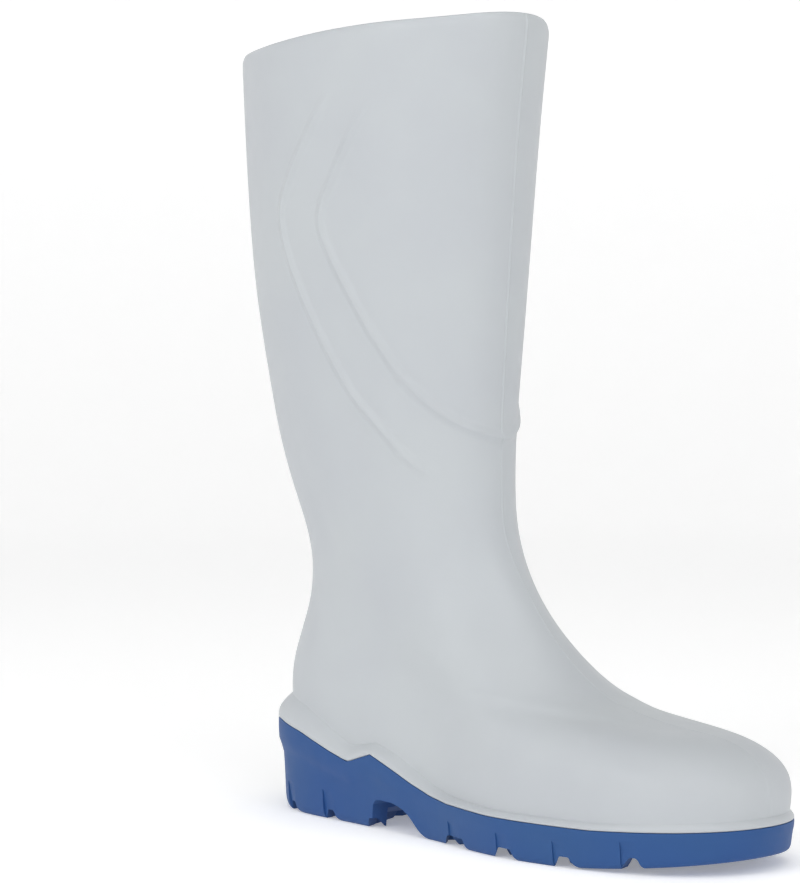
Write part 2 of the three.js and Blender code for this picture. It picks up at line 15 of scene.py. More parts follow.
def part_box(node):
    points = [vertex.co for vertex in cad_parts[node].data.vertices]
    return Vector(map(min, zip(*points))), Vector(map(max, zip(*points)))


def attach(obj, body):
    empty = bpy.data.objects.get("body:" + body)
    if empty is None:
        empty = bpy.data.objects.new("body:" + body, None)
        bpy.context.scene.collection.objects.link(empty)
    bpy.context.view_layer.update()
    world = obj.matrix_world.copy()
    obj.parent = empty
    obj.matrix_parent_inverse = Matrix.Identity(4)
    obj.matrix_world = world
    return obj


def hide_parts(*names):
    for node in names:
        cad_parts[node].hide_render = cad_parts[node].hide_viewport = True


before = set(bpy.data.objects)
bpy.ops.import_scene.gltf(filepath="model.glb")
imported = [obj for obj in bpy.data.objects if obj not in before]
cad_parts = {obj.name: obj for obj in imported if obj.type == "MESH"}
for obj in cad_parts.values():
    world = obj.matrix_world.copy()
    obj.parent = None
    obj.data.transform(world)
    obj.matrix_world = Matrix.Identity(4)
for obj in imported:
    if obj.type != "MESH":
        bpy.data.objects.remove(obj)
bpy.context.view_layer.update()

MM = 0.001

# Driving sizes, as in the solids
SOLE_LENGTH = 305.0
BALL_WIDTH = 107.0
HEEL_WIDTH = 80.0
INSTEP_HEIGHT = 168.0
BOOT_HEIGHT = 396.0
SHAFT_LENGTH = 186.0
SHAFT_WIDTH = 122.0
SHAFT_CENTRE = 70.8
TOE_SWING = 5.0

# Upper
WALL = 3.0
LINING_STEP = 0.5
COLLAR_ROLL = 6.5
COLLAR_BACK_TUCK = 2.2
COLLAR_FRONT_TUCK = 3.0
SILL_HEIGHT = 13.0
SILL_UPRIGHT = 0.2
SILL_BEND = 1.7
SILL_ROUND = 0.5
RIB_REACH = 3.7
RIB_HEIGHT = 1.6
SEAM_HEIGHT = 0.45
FOOT_SEAM = 0.2
SEAM_REACH = 0.015

# Outsole and insole
FIT_GAP = 0.3
SEAT_GAP = 0.14
RIM_WALL = 3.0
RIM_ROUND = 0.4
HEEL_RIM = 46.5
HEEL_BED = 24.0
BALL_BED = 11.0
TOE_SPRING = 7.5
SPRING_START = 0.74
SPRING_BEND = 1.3
ARCH_HEIGHT = 15.0
ARCH_WAIST = 14.0
WAIST_AT = 0.42
WAIST_SPREAD = 0.085
OUTER_WAIST = 0.05
HEEL_TAPER = 6.5
BALL_TAPER = 3.5
TREAD_DEPTH = 5.0
TREAD_DRAFT = 0.6
LUG_EDGE = 0.45
GROOVE = 5.2
NOTCH = 7.6
NOTCH_REACH = 14.0
SIPE = 2.6
FINE_SIPE = 1.1
FINE_SIPE_DEPTH = 1.5
BAR_GAP = 1.7
BAR_GAP_DEPTH = 2.8
FLUTE_DEPTH = 0.8
HEEL_FLUTE = 15.0
BALL_FLUTE = 12.0
INSOLE = 4.0

# Facets
COLUMNS = 208
SOLE_COLUMNS = 288
SOLID_COLUMNS = 60

# Sections bottom to top: back and front ends, their rises, widths at heel, waist, ball and toe, squareness at
# back and front, and where the waist widens. Foot ends are shares of the sole's length, rises of the instep's
# height, widths of heel and ball.
FOOT_SECTIONS = [
    (0.025, 0.992, 0.270, 0.134, 0.90, 0.93, 0.940, 0.965, 6.5, 5.6, 0.36, 0.70),
    (0.024, 0.997, 0.345, 0.250, 0.925, 0.90, 0.945, 1.030, 6.0, 5.5, 0.37, 0.70),
    (0.025, 0.937, 0.417, 0.345, 0.925, 0.85, 0.858, 0.841, 5.5, 3.0, 0.385, 0.70),
    (0.033, 0.842, 0.488, 0.360, 0.912, 0.80, 0.746, 0.658, 5.0, 2.1, 0.4, 0.70),
    (0.045, 0.775, 0.560, 0.385, 0.90, 0.80, 0.686, 0.662, 4.2, 2.6, 0.4, 0.70),
    (0.060, 0.696, 0.635, 0.421, 0.888, 0.825, 0.717, 0.638, 3.5, 3.2, 0.4, 0.70),
    (0.0675, 0.605, 0.7125, 0.547, 0.875, 0.85, 0.653, 0.571, 3.0, 3.0, 0.4, 0.70),
    (0.0708, 0.541, 0.798, 0.688, 0.904, 0.904, 0.663, 0.514, 2.7, 2.1, 0.4, 0.70),
    (0.0577, 0.482, 0.889, 0.851, 0.945, 0.971, 0.699, 0.633, 2.5, 2.9, 0.4, 0.70),
]

# Shaft ends are shares of its length from its centre, rises of its height over the instep, widths of its own.
SHAFT_SECTIONS = [
    (-0.335, 0.407, 0.000, -0.014, 0.665, 0.683, 0.657, 0.588, 2.4, 2.2, 0.4, 0.70),
    (-0.384, 0.403, 0.116, 0.126, 0.738, 0.756, 0.720, 0.668, 2.3, 2.2, 0.4, 0.70),
    (-0.418, 0.417, 0.260, 0.282, 0.808, 0.826, 0.791, 0.738, 2.3, 2.2, 0.4, 0.70),
    (-0.454, 0.432, 0.424, 0.455, 0.870, 0.896, 0.861, 0.808, 2.3, 2.2, 0.4, 0.70),
    (-0.4725, 0.449, 0.597, 0.640, 0.914, 0.949, 0.914, 0.861, 2.3, 2.2, 0.4, 0.70),
    (-0.487, 0.470, 0.770, 0.822, 0.940, 0.984, 0.949, 0.896, 2.3, 2.2, 0.4, 0.70),
    (-0.500, 0.500, 0.954, 1.000, 0.957, 1.000, 0.966, 0.914, 2.3, 2.2, 0.4, 0.70),
]

SOLE_SECTION = (0.0, 1.0, 0.0, 0.0, 1.0, 1.05, 1.0, 0.985, 7.0, 5.4, 0.36, 0.70)

# Swing of the last's centre line: shares of the toe's swing at even tenths of the length, from two tenths
# behind the heel.
SWING = [0, 0, 0, 0, 0, -0.12, -0.40, -0.64, -0.74, -0.56, -0.12, 0.44, 1.0, 1.5, 2.0]

# Lines along the sole: station and height, as shares.
RIM_LINE = [(0, 1.0), (0.06, 1.0), (0.13, 0.912), (0.207, 0.753), (0.252, 0.675), (0.309, 0.792),
            (0.357, 0.681), (0.408, 0.556), (0.456, 0.468), (0.5, 0.426), (0.6, 0.402), (0.8, 0.400),
            (0.9, 0.426), (1, 0.452)]
SILL_LINE = [(0, 1.0), (0.13, 0.96), (0.207, 0.73), (0.252, 0.58), (0.309, 0.42), (0.357, 0.50),
             (0.408, 0.42), (0.456, 0.29), (0.5, 0.23), (0.6, 0.23), (0.8, 0.26), (1, 0.31)]

# Rise of the collar from back to front at even tenths of its length.
COLLAR_LINE = [0, 0.03, 0.06, 0.11, 0.22, 0.38, 0.51, 0.60, 0.65, 0.75, 1]

# Outsole's side from its rim down: share of its height, and of its taper at heel and ball.
SIDE_LINE = [(0, 0, 0), (0.12, 0.0, 0.01), (0.22, 0.04, 0.04), (0.30, 0.24, 0.10), (0.38, 0.40, 0.17),
             (0.50, 0.46, 0.25), (0.62, 0.50, 0.31), (0.74, 0.54, 0.38), (0.84, 0.57, 0.45),
             (0.90, 0.62, 0.53), (0.94, 0.70, 0.64), (0.97, 0.80, 0.77), (0.99, 0.91, 0.90), (1, 1.03, 1.06)]

# Underside of the waist from the heel's breast forward: shares of the length and of the arch's height.
ARCH_LINE = [(0.304, -0.3), (0.304, 0), (0.306, 0.42), (0.309, 0.80), (0.316, 0.96), (0.330, 1.0),
             (0.356, 0.98), (0.372, 0.91), (0.386, 0.81), (0.397, 0.67), (0.406, 0.51), (0.415, 0.33),
             (0.424, 0.17), (0.434, 0.05), (0.444, 0), (0.444, -0.3)]

# Ribs of the shaft: angle round the boot from its front, in degrees, and place among the sections.
FRONT_RIB = [(64, 14.2), (71, 13.8), (79, 13.3), (85, 12.9), (85.5, 12.6), (80, 12.15), (69, 11.45),
             (63, 11.13), (53.5, 10.67), (38.5, 10.23), (22, 9.99), (0, 9.86)]
BACK_RIB = [(79.5, 14.35), (83.5, 14.16), (89.5, 13.83), (97.5, 13.4), (104.5, 12.95), (104.5, 12.65),
            (102, 12.3), (97, 11.87), (90, 11.32), (81.5, 10.72), (75, 10.36), (65, 9.95), (57, 9.6),
            (48, 9.3), (41, 9.12)]

# Soft dents of the moulding: angle and place of the middle, reach in each, and depth, minus for a swelling.
DENTS = [(-95, 9.3, 34, 0.9, 0.5), (95, 9.3, 34, 0.9, 0.5), (180, 6.2, 30, 1.3, 0.45),
         (-116, 8.0, 11, 1.9, 1.5), (116, 8.0, 11, 1.9, 1.5), (-67, 3.7, 21, 0.95, -2.3),
         (67, 3.7, 21, 0.95, -1.6), (-50, 5.1, 24, 1.1, -0.7), (50, 5.1, 24, 1.1, -0.5),
         (-52, 8.6, 16, 0.5, 0.2), (52, 8.6, 16, 0.5, 0.2), (-150, 10.8, 14, 0.9, 0.35)]

# A side notch: place towards the toe and height; its rear corner is sharp and its front one round.
NOTCH_FACE = [(-5.9, -2), (-5.9, 0), (-2.1, 4.5), (-1.4, 5.0), (1.1, 5.0), (2.0, 4.5), (2.7, 3.6), (3.3, 2.4),
              (4.0, 1.3), (5.0, 0.55), (6.2, 0.15), (7.4, -0.05), (7.4, -2)]

# A flute over a notch: place towards the toe and share of its depth, crisp at the rear and fading forwards.
FLUTE_FACE = [(-5.8, -4), (-5.45, 0.85), (-3.6, 0.8), (-1.4, 0.5), (1.0, 0.18), (3.2, -0.06), (3.8, -4)]

# Tread grooves: chains of points, shares of the length and of the width there, inner side plus.
BALL_GROOVES = [
    [(0.813, 0.48), (0.520, -0.48)],
    [(0.900, 0.42), (0.642, -0.50)],
    [(0.845, -0.24), (0.754, -0.48)],
    [(0.700, 0.50), (0.470, -0.35)],
    [(0.490, 0.40), (0.754, -0.48)],
    [(0.593, 0.46), (0.868, -0.40)],
    [(0.700, 0.50), (0.810, 0.12)],
    [(0.813, 0.48), (0.862, 0.25)],
    [(0.490, 0.02), (0.642, -0.50)],
    [(0.485, -0.32), (0.520, -0.48)],
    [(0.850, 0.15), (0.869, 0.00), (0.869, -0.10), (0.845, -0.24), (0.876, -0.36)],
]
HEEL_GROOVES = [
    [(0.335, 0.42), (0.272, 0.20)],
    [(0.240, 0.48), (0.270, -0.14), (0.308, -0.52)],
    [(0.273, 0.01), (0.187, -0.352), (0.196, -0.46)],
    [(0.222, 0.45), (0.172, 0.16)],
    [(0.128, 0.46), (0.178, 0.077), (0.187, -0.352)],
    [(0.165, 0.08), (0.083, -0.27), (0.083, -0.47)],
]
HEEL_SIPES = [
    [(0.120, 0.36), (0.088, 0.20), (0.106, 0.09), (0.066, -0.03), (0.081, -0.25)],
    [(0.250, 0.19), (0.196, 0.10), (0.239, -0.044)],
]
HEEL_CUTS = [
    [(0.142, 0.234), (0.110, 0.150)],
    [(0.124, -0.043), (0.102, 0.037)],
    [(0.093, 0.433), (0.064, 0.188)],
    [(0.064, 0.360), (0.027, 0.082), (0.019, -0.260)],
    [(0.088, 0.090), (0.027, 0.085)],
    [(0.045, -0.058), (0.040, -0.315)],
]
TOE_CUTS = [
    [(0.938, 0.117), (0.943, -0.110)],
    [(0.921, 0.119), (0.927, -0.123)],
    [(0.906, 0.113), (0.912, -0.131)],
    [(0.890, 0.110), (0.895, -0.120)],
    [(0.902, 0.250), (0.924, 0.172)],
    [(0.890, 0.231), (0.919, 0.134)],
    [(0.880, 0.210), (0.904, 0.126)],
    [(0.868, 0.178), (0.888, 0.115)],
    [(0.907, -0.149), (0.875, -0.290)],
    [(0.889, -0.119), (0.853, -0.257)],
]
TOE_LINES = [
    [(0.967, 0.119), (0.924, 0.133), (0.888, 0.115)],
    [(0.936, 0.246), (0.921, 0.127)],
    [(0.965, -0.110), (0.945, -0.113), (0.916, -0.137), (0.890, -0.111)],
    [(0.912, -0.137), (0.924, -0.217)],
]

# Three-armed sipes of the lugs: the middle, then the tips.
BALL_STARS = [
    [(0.863, 0.348), (0.890, 0.366), (0.836, 0.387), (0.850, 0.255)],
    [(0.802, 0.291), (0.822, 0.240), (0.775, 0.273), (0.806, 0.363)],
    [(0.752, 0.401), (0.782, 0.431), (0.724, 0.437), (0.752, 0.302)],
    [(0.704, 0.317), (0.723, 0.283), (0.679, 0.283), (0.702, 0.376)],
    [(0.650, 0.397), (0.677, 0.442), (0.616, 0.413), (0.653, 0.294)],
    [(0.602, 0.303), (0.625, 0.273), (0.584, 0.263), (0.601, 0.348)],
    [(0.550, 0.321), (0.572, 0.393), (0.509, 0.333), (0.557, 0.226)],
    [(0.807, -0.319), (0.838, -0.340), (0.787, -0.383), (0.799, -0.246)],
    [(0.750, -0.249), (0.768, -0.192), (0.719, -0.222), (0.755, -0.326)],
    [(0.704, -0.372), (0.733, -0.404), (0.677, -0.414), (0.704, -0.302)],
    [(0.655, -0.261), (0.679, -0.224), (0.630, -0.228), (0.653, -0.351)],
    [(0.601, -0.364), (0.623, -0.414), (0.567, -0.399), (0.599, -0.297)],
    [(0.552, -0.244), (0.584, -0.229), (0.530, -0.181), (0.552, -0.371)],
    [(0.819, -0.094), (0.858, -0.041), (0.770, -0.062), (0.823, -0.182)],
]
HEEL_STARS = [
    [(0.285, 0.392), (0.315, 0.427), (0.264, 0.443), (0.279, 0.312)],
    [(0.184, 0.437), (0.216, 0.458), (0.164, 0.478), (0.180, 0.314)],
    [(0.241, -0.350), (0.261, -0.400), (0.212, -0.390), (0.242, -0.270)],
    [(0.138, -0.330), (0.155, -0.380), (0.109, -0.370), (0.142, -0.260)],
]
OUTER_NOTCHES = [0.083, 0.196, 0.520, 0.642, 0.754, 0.868]
INNER_NOTCHES = [0.138, 0.240, 0.593, 0.700, 0.813]

# Ramp at the heel's breast: ends as shares of the length, its low rise as one of the arch's height, and its
# inner and outer sides of the heel's width.
BREAST_RAMP = (0.275, 0.347, 0.3, 0.28, -0.36)


def smooth(value, start, end):
    u = np.clip((value - start) / (end - start), 0, 1)
    return u * u * u * (u * (6 * u - 15) + 10)


def along(line, share):
    stations, heights = np.array(line, float).T
    return np.interp(share, stations, heights)


def spline(values, place):
    """A uniform cubic B-spline through the ends of a column of values."""
    values = np.asarray(values, float)
    last = len(values) - 1
    padded = np.concatenate([[2 * values[0] - values[1]], values, [2 * values[-1] - values[-2]]])
    place = np.clip(place, 0, last)
    i = np.minimum(np.floor(place).astype(int), last - 1)
    f = place - i
    g = 1 - f
    return (g ** 3 * padded[i] + (3 * f ** 3 - 6 * f ** 2 + 4) * padded[i + 1]
            + (3 * g ** 3 - 6 * g ** 2 + 4) * padded[i + 2] + f ** 3 * padded[i + 3]) / 6


def swing(x):
    return TOE_SWING * spline(SWING, (x / SOLE_LENGTH + 0.2) / 0.1)


def foot_row(row):
    back, front, back_rise, front_rise, heel, waist, ball, toe, *shape = row
    return (back * SOLE_LENGTH, front * SOLE_LENGTH, back_rise * INSTEP_HEIGHT, front_rise * INSTEP_HEIGHT,
            heel * HEEL_WIDTH, waist * HEEL_WIDTH, ball * BALL_WIDTH, toe * BALL_WIDTH, *shape)


def shaft_row(row):
    back, front, back_rise, front_rise, heel, waist, ball, toe, *shape = row
    rise = BOOT_HEIGHT - INSTEP_HEIGHT
    return (SHAFT_CENTRE + back * SHAFT_LENGTH, SHAFT_CENTRE + front * SHAFT_LENGTH,
            INSTEP_HEIGHT + back_rise * rise, INSTEP_HEIGHT + front_rise * rise, heel * SHAFT_WIDTH,
            waist * SHAFT_WIDTH, ball * SHAFT_WIDTH, toe * SHAFT_WIDTH, *shape)


SECTIONS = np.array([foot_row(row) for row in FOOT_SECTIONS] + [shaft_row(row) for row in SHAFT_SECTIONS])
SOLE = foot_row(SOLE_SECTION)
TOP_ROW = len(SECTIONS) - 1.0
SHAFT_ROW = 14.7
ROLL_ROW = 14.86
RIB_ROW = 8.7


def section_point(row, angle):
    """Points of one section at angles from its front, anticlockwise from above."""
    back, front, back_z, front_z, heel, waist, ball, toe = row[:8]
    back_square, front_square, widens_from, widens_to = row[8:]
    u = np.cos(angle)
    t = (1 + u) / 2
    width = (heel + (waist - heel) * smooth(t, 0.14, 0.42)
             + (ball - waist) * smooth(t, widens_from, widens_to) + (toe - ball) * smooth(t, 0.68, 1.0))
    square = np.where(u > 0, front_square, back_square)
    reach = np.sqrt(np.clip(1 - np.abs(u) ** square, 0, 1))
    sine = np.sin(angle)
    side = np.where(np.abs(sine) < 1e-9, 0, np.sign(sine))
    x = back + (front - back) * t
    return np.stack([x, side * reach * width / 2 + swing(x), back_z + (front_z - back_z) * t], axis=-1)


def rim_height(x):
    return HEEL_RIM * along(RIM_LINE, x / SOLE_LENGTH)


def sill_height(x):
    return rim_height(x) + SILL_HEIGHT * along(SILL_LINE, x / SOLE_LENGTH)


def ground_height(x):
    return TOE_SPRING * np.maximum(0, (x / SOLE_LENGTH - SPRING_START) / (1 - SPRING_START)) ** SPRING_BEND


def bed_height(x):
    fall = smooth(x / SOLE_LENGTH, 0.24, 0.60)
    return BALL_BED + (HEEL_BED - BALL_BED) * (1 - fall) + ground_height(x) / 2


def wall_point(place, angle):
    """Outside of the upper at a place among its sections; the lowest rows even out the sill's wave."""
    place, angle = np.broadcast_arrays(np.asarray(place, float), np.asarray(angle, float))
    point = section_point([spline(column, place) for column in SECTIONS.T], angle)
    foot = section_point(SECTIONS[0], angle)
    share = np.clip(1 - place / 4, 0, 1) ** 2
    point[..., 2] += share * (sill_height(foot[..., 0]) - foot[..., 2])
    t = (1 + np.cos(angle)) / 2
    settled = np.clip(1 - (TOP_ROW - place) / 2, 0, 1) ** 2
    fall = spline(SECTIONS[:, 3], place) - spline(SECTIONS[:, 2], place)
    point[..., 2] += settled * (spline(COLLAR_LINE, t * 10) - t) * fall
    return point


def wall_normal(place, angle):
    step = 1e-3
    place, angle = np.broadcast_arrays(np.asarray(place, float), np.asarray(angle, float))
    low = wall_point(np.maximum(place - step, 0), angle)
    high = wall_point(np.minimum(place + step, TOP_ROW), angle)
    normal = np.cross(wall_point(place, angle + step) - wall_point(place, angle - step), high - low)
    return normal / np.linalg.norm(normal, axis=-1, keepdims=True)


def plan_point(angle, inset, height=None):
    """Points of the sole's plan, moved in from its edge, at a height or on a line along the length."""
    angle = np.asarray(angle, float)
    step = 1e-3
    ahead = section_point(SOLE, angle + step) - section_point(SOLE, angle - step)
    inward = np.stack([-ahead[..., 1], ahead[..., 0]], axis=-1)
    inward /= np.linalg.norm(inward, axis=-1, keepdims=True)
    point = section_point(SOLE, angle)
    point[..., :2] += inward * np.asarray(inset)[..., None]
    if height is not None:
        point[..., 2] = height(point[..., 0]) if callable(height) else height
    return point


def columns(count):
    return 2 * math.pi * np.arange(count) / count


# The part's origin lies under the middle of the boot, and the solid outsole's box sets the shift.
outsole_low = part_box("outsole")[0]
plan_low = plan_point(columns(SOLID_COLUMNS), 0.0).min(axis=0)
ORIGIN = np.array([outsole_low[0] - plan_low[0] * MM, outsole_low[1] - plan_low[1] * MM, 0.0])


def deselect():
    bpy.ops.object.select_all(action="DESELECT")


def select_only(piece):
    deselect()
    piece.select_set(True)
    bpy.context.view_layer.objects.active = piece


def apply_modifiers(piece):
    select_only(piece)
    for modifier in list(piece.modifiers):
        bpy.ops.object.modifier_apply(modifier=modifier.name)


def wrap(name, rings, closed=False):
    """A primitive grid wrapped round rings of points, its meeting edges joined."""
    rings = np.concatenate([rings, rings[:1]]) if closed else rings
    points = np.concatenate([rings, rings[:, :1]], axis=1)
    rows, count = points.shape[:2]
    deselect()
    bpy.ops.mesh.primitive_grid_add(x_subdivisions=count - 1, y_subdivisions=rows - 1)
    piece = bpy.context.object
    piece.name = piece.data.name = name
    piece.data.vertices.foreach_set("co", (points.reshape(-1, 3) * MM + ORIGIN).ravel())
    bpy.ops.object.mode_set(mode="EDIT")
    bpy.ops.mesh.select_all(action="SELECT")
    bpy.ops.mesh.remove_doubles(threshold=2e-6)
    bpy.ops.mesh.normals_make_consistent(inside=False)
    bpy.ops.object.mode_set(mode="OBJECT")
    return piece


def grow(rings, share):
    """A ring drawn in towards the line between its two sides."""
    partner = np.roll(rings[::-1], 1, axis=0)
    return rings + ((rings + partner) / 2 - rings) * share


def capped(rings):
    """Rings with both ends closed towards their middle lines."""
    start = [grow(rings[0], share) for share in (1.0, 0.66, 0.33)]
    end = [grow(rings[-1], share) for share in (0.33, 0.66, 1.0)]
    return np.array([*start, *rings, *end])


def curve_points(points, steps):
    """A smooth curve through the points given."""
    points = np.asarray(points, float)
    padded = np.vstack([2 * points[0] - points[1], points, 2 * points[-1] - points[-2]])
    place = np.linspace(0, len(points) - 1, steps)
    i = np.minimum(place.astype(int), len(points) - 2)
    f = (place - i)[:, None]
    a, b, c, d = padded[i], padded[i + 1], padded[i + 2], padded[i + 3]
    return 0.5 * (2 * b + (c - a) * f + (2 * a - 5 * b + 4 * c - d) * f ** 2
                  + (3 * b - a - 3 * c + d) * f ** 3)


# The upper's columns gather at the front and back parting lines.
def upper_angles():
    even = columns(COLUMNS)
    close = np.array([0.005, 0.010, 0.015])
    near = np.concatenate([-close, close])
    angles = np.concatenate([even, near % (2 * math.pi), math.pi + near])
    return np.unique(np.round(angles, 6))


def seam_lift(place, angle):
    """Height of the parting lines, narrow ridges down the middle of front and back, lower on the foot."""
    off = np.abs((angle + math.pi / 2) % math.pi - math.pi / 2)
    height = FOOT_SEAM + (SEAM_HEIGHT - FOOT_SEAM) * smooth(place, 7, 11)
    return height * np.clip(1 - (off / SEAM_REACH) ** 2, 0, 1)


def rib_lines():
    """Ribs as points of the wall, with a share of their height that fades at the free ends."""
    lines = []
    front = [(-angle, place) for angle, place in FRONT_RIB] + FRONT_RIB[-2::-1]
    for rib in (front, BACK_RIB, [(-angle, place) for angle, place in BACK_RIB]):
        route = curve_points(rib, 1600 if rib is front else 900)
        spots = wall_point(route[:, 1], np.radians(route[:, 0]))
        share = np.linspace(0, 1, len(route))
        fade = smooth(np.minimum(share, 1 - share), 0, 0.16 if rib is not front else 0.07)
        lines.append((spots, fade))
    return np.concatenate([spots for spots, _ in lines]), np.concatenate([fade for _, fade in lines])


def make_upper():
    angle = upper_angles()
    base = wall_point(0.0, angle)
    edge = plan_point(angle, 0.0)
    under = rim_height(edge[:, 0]) + SEAT_GAP
    rings = []
    seat = RIM_WALL + FIT_GAP
    rings.append(plan_point(angle, seat, lambda x: bed_height(x) + FIT_GAP))
    rings.append(plan_point(angle, seat, lambda x: rim_height(x) + SEAT_GAP))
    for inset in (1.6, SILL_ROUND, 0.2):
        ring = plan_point(angle, inset)
        ring[:, 2] = under + (0.2 if inset == 0.2 else 0)
        rings.append(ring)
    rise = base[:, 2] - under
    for up in (0.06, SILL_UPRIGHT, 0.35, 0.5, 0.63, 0.74, 0.83, 0.9, 0.95, 0.985, 1.0):
        t = max(0.0, (up - SILL_UPRIGHT) / (1 - SILL_UPRIGHT))
        ring = edge + (base - edge) * t ** SILL_BEND
        ring[:, 2] = under + np.maximum(up * rise, min(up, 0.06) * 10)
        rings.append(ring)
    # Up the wall and over the rolled collar.
    rolled_rows = ROLL_ROW + (TOP_ROW - ROLL_ROW) * np.sin(np.linspace(0.15, 1, 11) * math.pi / 2)
    places = np.concatenate([[0.02, 0.05], np.linspace(0.1, 9, 92), np.linspace(9, SHAFT_ROW, 78)[1:],
                             np.linspace(SHAFT_ROW, ROLL_ROW, 4)[1:], rolled_rows])
    wall = (len(rings), len(rings) + len(places))
    for place in places:
        rings.append(shaped_wall(place, angle))
    lip = collar_tuck(angle)
    rim = wall_point(TOP_ROW, angle)
    top_normal = wall_normal(TOP_ROW, angle)
    for depth, drop in ((0.5, 0), (WALL - 1.6, 0), (WALL - 0.9, 0.12), (WALL - 0.35, 0.5)):
        ring = rim - top_normal * (lip + depth)[:, None]
        ring[:, 2] = rim[:, 2] - drop
        rings.append(ring)
    # Down the inside, where the lining starts with a small step.
    bare = [14.975, 14.93, 14.86, 14.8, 14.76]
    step_at = len(rings) + len(bare)
    for place in [*bare, 14.755, *np.linspace(14.6, 0, 52)]:
        lining = 0.0 if place in bare else LINING_STEP
        point = wall_point(place, angle)
        depth = WALL + lining + roll_in(rim[:, 2] - point[:, 2], angle)
        ring = point - wall_normal(place, angle) * depth[:, None]
        ring[:, 2] = np.minimum(ring[:, 2], rim[:, 2] - 0.6)
        rings.append(ring)
    rings.append(plan_point(angle, seat + WALL, lambda x: rim_height(x) + FIT_GAP))
    rings.append(plan_point(angle, seat + WALL, lambda x: bed_height(x) + FIT_GAP))
    rings = np.array(rings)
    piece = wrap("moulded_upper", rings, closed=True)
    raise_ribs(piece, angle, places, wall, len(rings))
    line_inside(piece, step_at, len(rings))
    return piece


def collar_tuck(angle):
    return COLLAR_BACK_TUCK + (COLLAR_FRONT_TUCK - COLLAR_BACK_TUCK) * (1 + np.cos(angle)) / 2


def roll_in(drop, angle):
    """How far the wall turns in under the collar's rim."""
    t = np.clip(1 - drop / COLLAR_ROLL, 0, 1)
    return collar_tuck(angle) * (1 - np.sqrt(1 - t * t * 0.999))


def dent_depth(place, angle):
    depth = np.zeros(np.broadcast(place, angle).shape)
    for middle, row, reach, rows, deep in DENTS:
        off = (np.degrees(angle) - middle + 180) % 360 - 180
        depth += deep * np.exp(-(off / reach) ** 2 - ((place - row) / rows) ** 2)
    return depth


def shaped_wall(place, angle, raised=0.0):
    rim = wall_point(TOP_ROW, angle)
    point = wall_point(place, angle)
    turned_in = roll_in(rim[..., 2] - point[..., 2], angle)
    lift = seam_lift(place, angle) - turned_in - dent_depth(place, angle) + raised
    return point + wall_normal(place, angle) * lift[..., None]


def raise_ribs(piece, angle, places, wall, ring_count):
    """Divides the faces near the ribs and lifts their points."""
    spots, fade = rib_lines()
    tree = KDTree(len(spots))
    for i, spot in enumerate(spots):
        tree.insert(spot, i)
    tree.balance()
    mesh = piece.data

    def near(point):
        return tree.find((np.array(point) - ORIGIN) / MM)

    low = wall[0] + int(np.searchsorted(places, RIB_ROW))
    high = wall[0] + int(np.searchsorted(places, SHAFT_ROW))
    uv = mesh.uv_layers.active.data
    chosen = []
    for face in mesh.polygons:
        row = np.mean([uv[i].uv[1] for i in face.loop_indices]) * ring_count
        inside = low < row < high
        chosen.append(inside and near(face.center)[2] < RIB_REACH + 1.8)
    select_only(piece)
    mesh.polygons.foreach_set("select", chosen)
    edges = np.zeros(len(mesh.edges), bool)
    mesh.edges.foreach_set("select", edges)
    points = np.zeros(len(mesh.vertices), bool)
    mesh.vertices.foreach_set("select", points)
    bpy.ops.object.mode_set(mode="EDIT")
    bpy.ops.mesh.select_mode(type="FACE")
    bpy.ops.mesh.subdivide(number_cuts=2)
    bpy.ops.object.mode_set(mode="OBJECT")
    mesh = piece.data
    uv = mesh.uv_layers.active.data
    where = {}
    for loop in mesh.loops:
        where.setdefault(loop.vertex_index, tuple(uv[loop.index].uv))
    keys = np.array(sorted(where))
    u, v = np.array([where[k] for k in keys]).T
    row = v * ring_count
    keep = (row > low - 1) & (row < high + 1)
    keys, u, row = keys[keep], u[keep], row[keep]
    at = np.interp(u * len(angle), np.arange(len(angle) + 1), np.append(angle, 2 * math.pi))
    place = np.interp(row - wall[0], np.arange(len(places)), places)
    wall_points = wall_point(place, at)
    raised = np.zeros(len(keys))
    for i, point in enumerate(wall_points):
        _, spot, distance = tree.find(point)
        if distance < RIB_REACH:
            crest = max(0.0, 1 - math.sqrt((distance / RIB_REACH) ** 2 + 0.012))
            raised[i] = RIB_HEIGHT * fade[spot] * (crest / 0.89) ** 1.35
    shaped = shaped_wall(place, at, raised) * MM + ORIGIN
    for key, point in zip(keys, shaped):
        mesh.vertices[key].co = point


def line_inside(piece, step_at, ring_count):
    """Gives the faces inside the shaft and foot the second material, the lining's."""
    mesh = piece.data
    uv = mesh.uv_layers.active.data
    for face in mesh.polygons:
        row = np.mean([uv[i].uv[1] for i in face.loop_indices]) * ring_count
        face.material_index = 1 if step_at <= row < ring_count - 3 else 0


# Outsole
def side_inset(x, angle, level):
    """How far the side lies in from the rim. At the inner waist, near the bed, that is more than RIM_WALL,
    and the side crosses the cup's wall there."""
    down, heel_in, ball_in = level
    at_ball = smooth(x / SOLE_LENGTH, 0.20, 0.45)
    taper = HEEL_TAPER * heel_in * (1 - at_ball) + BALL_TAPER * ball_in * at_ball
    hollow = np.exp(-((x / SOLE_LENGTH - WAIST_AT) / WAIST_SPREAD) ** 2)
    return taper + ARCH_WAIST * hollow * down * np.where(np.sin(angle) > 0, 1.0, OUTER_WAIST)


def edge_angle(at, side):
    return side * math.acos(2 * at - 1)


